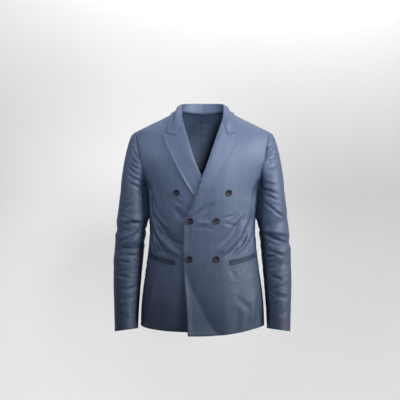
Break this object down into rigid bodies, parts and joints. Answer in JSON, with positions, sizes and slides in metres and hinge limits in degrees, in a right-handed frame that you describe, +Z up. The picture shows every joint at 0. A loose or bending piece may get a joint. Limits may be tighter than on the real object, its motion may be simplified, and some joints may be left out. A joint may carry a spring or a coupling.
{
  "type": "double breasted blazer",
  "caption": "Double breasted blazer in slate blue sateen in its worn form, with peak lapels, jetted hip pockets and dark buttons.",
  "frame": {"origin": "on the wearer's middle plane, in the plane of the shoulder seams, 16 mm below the height of the neck points", "axes": "+Z up, -Y towards the front of the blazer, +X towards the wearer's left"},
  "size_m": [0.5771, 0.2533, 0.7459],
  "materials": {
    "slate_cloth": "satin",
    "pocket_cloth": "satin",
    "button": "satin"
  },
  "bodies": {
    "root": {"front_left": "slate_cloth", "back_left": "slate_cloth", "lapel_left": "slate_cloth", "topsleeve_left": "slate_cloth", "undersleeve_left": "slate_cloth", "front_right": "slate_cloth", "back_right": "slate_cloth", "lapel_right": "slate_cloth", "topsleeve_right": "slate_cloth", "undersleeve_right": "slate_cloth", "collar": "slate_cloth", "pocket_jet_upper_left": "pocket_cloth", "pocket_jet_lower_left": "pocket_cloth", "pocket_jet_upper_right": "pocket_cloth", "pocket_jet_lower_right": "pocket_cloth", "button_top_left": "button", "button_top_right": "button", "button_middle_left": "button", "button_middle_right": "button", "button_bottom_left": "button", "button_bottom_right": "button"}
  },
  "joints": []
}
